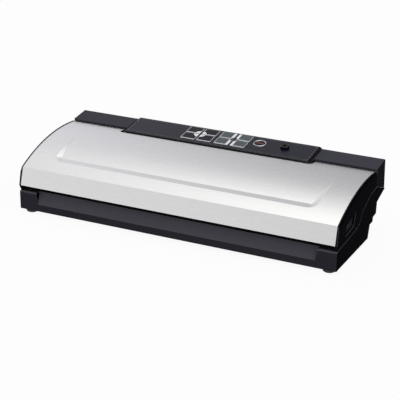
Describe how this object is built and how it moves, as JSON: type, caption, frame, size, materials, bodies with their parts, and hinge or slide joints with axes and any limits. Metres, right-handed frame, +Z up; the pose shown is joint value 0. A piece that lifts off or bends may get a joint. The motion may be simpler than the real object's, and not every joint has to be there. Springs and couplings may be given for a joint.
{
  "type": "vacuum sealer",
  "caption": "Long countertop vacuum sealer with a hinged steel-covered lid, a sloping rear control panel with keys, a front bag ramp and side release buttons.",
  "frame": {"origin": "centre of the bounding box in plan, on the surface that the feet stand on", "axes": "+X along the length to the right of someone standing in front, +Y towards the rear bar, +Z up"},
  "size_m": [0.385, 0.1496, 0.0834],
  "materials": {
    "housing": "fine satin texture",
    "bar": "satin with faint lengthwise grain",
    "black_plastic": "satin",
    "panel": "semi-gloss film",
    "dark_keys": "satin",
    "grey_keys": "satin",
    "indicator": "dark red lens",
    "chrome_ring": "polished",
    "circuit_board": "solder mask",
    "switch_body": "moulded",
    "clear_tray": "polished tray",
    "foam": "closed-cell foam",
    "aluminium_bar": "extruded",
    "heater": "flat ribbon",
    "tape": "coated glass cloth",
    "pump_body": "moulded",
    "motor_can": "drawn can",
    "bracket": "zinc plated",
    "core": "laminated",
    "hose": "silicone tube",
    "rubber_feet": "matt",
    "fasteners": "zinc plated",
    "brushed_cover": "fine grain along the length",
    "lid_plastic": "satin",
    "silicone": "red silicone"
  },
  "bodies": {
    "base": {"base_housing": "housing", "bottom_cover": "black_plastic", "rear_cover": "bar", "control_housing": "panel", "control_panel": "panel", "button_ring": "chrome_ring", "accessory_port": "black_plastic", "key_board": "circuit_board", "key_switches": "switch_body", "drip_tray": "clear_tray", "lower_gasket": "foam", "sealing_bar": "aluminium_bar", "heating_strip": "heater", "ptfe_tape": "tape", "bag_stops": "black_plastic", "lid_switch": "black_plastic", "vacuum_pump": "pump_body", "pump_motor": "motor_can", "pump_bracket": "bracket", "transformer": "core", "control_board": "circuit_board", "release_valve": "pump_body", "suction_hose": "hose", "valve_hose": "hose", "port_hose": "hose", "cord_gland": "black_plastic", "feet": "rubber_feet", "bottom_screws": "fasteners", "hinge_pins": "fasteners"},
    "lid": {"lid_cover": "brushed_cover", "lid_liner": "lid_plastic", "lid_end_left": "lid_plastic", "lid_end_right": "lid_plastic", "upper_gasket": "foam", "pressure_strip": "silicone", "lid_screws": "fasteners"},
    "key_rear_1": {"key_rear_1": "dark_keys"},
    "key_rear_2": {"key_rear_2": "dark_keys"},
    "key_rear_3": {"key_rear_3": "grey_keys"},
    "key_rear_4": {"key_rear_4": "grey_keys"},
    "key_front_1": {"key_front_1": "dark_keys"},
    "key_front_2": {"key_front_2": "dark_keys"},
    "key_front_3": {"key_front_3": "grey_keys"},
    "key_front_4": {"key_front_4": "grey_keys"},
    "round_button": {"round_button": "indicator"},
    "release_button_left": {"release_button_left": "lid_plastic"},
    "release_button_right": {"release_button_right": "lid_plastic"}
  },
  "joints": [
    {"name": "lid_hinge", "type": "hinge", "parent": "base", "child": "lid", "pos_m": [0, 0.0409, 0.07], "axis": [-1, 0, 0], "range_deg": [0, 78]},
    {"name": "release_left_press", "type": "slide", "parent": "lid", "child": "release_button_left", "axis": [1, 0, 0], "range_m": [0, 0.0025], "stiffness_N_per_m": 300, "springref_m": -0.003},
    {"name": "release_right_press", "type": "slide", "parent": "lid", "child": "release_button_right", "axis": [-1, 0, 0], "range_m": [0, 0.0025], "stiffness_N_per_m": 300, "springref_m": -0.003},
    {"name": "key_rear_1_press", "type": "slide", "parent": "base", "child": "key_rear_1", "axis": [0, 0.1378, -0.9905], "range_m": [0, 0.0005], "stiffness_N_per_m": 300, "springref_m": -0.0015},
    {"name": "key_rear_2_press", "type": "slide", "parent": "base", "child": "key_rear_2", "axis": [0, 0.1378, -0.9905], "range_m": [0, 0.0005], "stiffness_N_per_m": 300, "springref_m": -0.0015},
    {"name": "key_rear_3_press", "type": "slide", "parent": "base", "child": "key_rear_3", "axis": [0, 0.1378, -0.9905], "range_m": [0, 0.0005], "stiffness_N_per_m": 300, "springref_m": -0.0015},
    {"name": "key_rear_4_press", "type": "slide", "parent": "base", "child": "key_rear_4", "axis": [0, 0.1378, -0.9905], "range_m": [0, 0.0005], "stiffness_N_per_m": 300, "springref_m": -0.0015},
    {"name": "key_front_1_press", "type": "slide", "parent": "base", "child": "key_front_1", "axis": [0, 0.1378, -0.9905], "range_m": [0, 0.0005], "stiffness_N_per_m": 300, "springref_m": -0.0015},
    {"name": "key_front_2_press", "type": "slide", "parent": "base", "child": "key_front_2", "axis": [0, 0.1378, -0.9905], "range_m": [0, 0.0005], "stiffness_N_per_m": 300, "springref_m": -0.0015},
    {"name": "key_front_3_press", "type": "slide", "parent": "base", "child": "key_front_3", "axis": [0, 0.1378, -0.9905], "range_m": [0, 0.0005], "stiffness_N_per_m": 300, "springref_m": -0.0015},
    {"name": "key_front_4_press", "type": "slide", "parent": "base", "child": "key_front_4", "axis": [0, 0.1378, -0.9905], "range_m": [0, 0.0005], "stiffness_N_per_m": 300, "springref_m": -0.0015},
    {"name": "round_button_press", "type": "slide", "parent": "base", "child": "round_button", "axis": [0, 0.1378, -0.9905], "range_m": [0, 0.0005], "stiffness_N_per_m": 300, "springref_m": -0.0015}
  ]
}
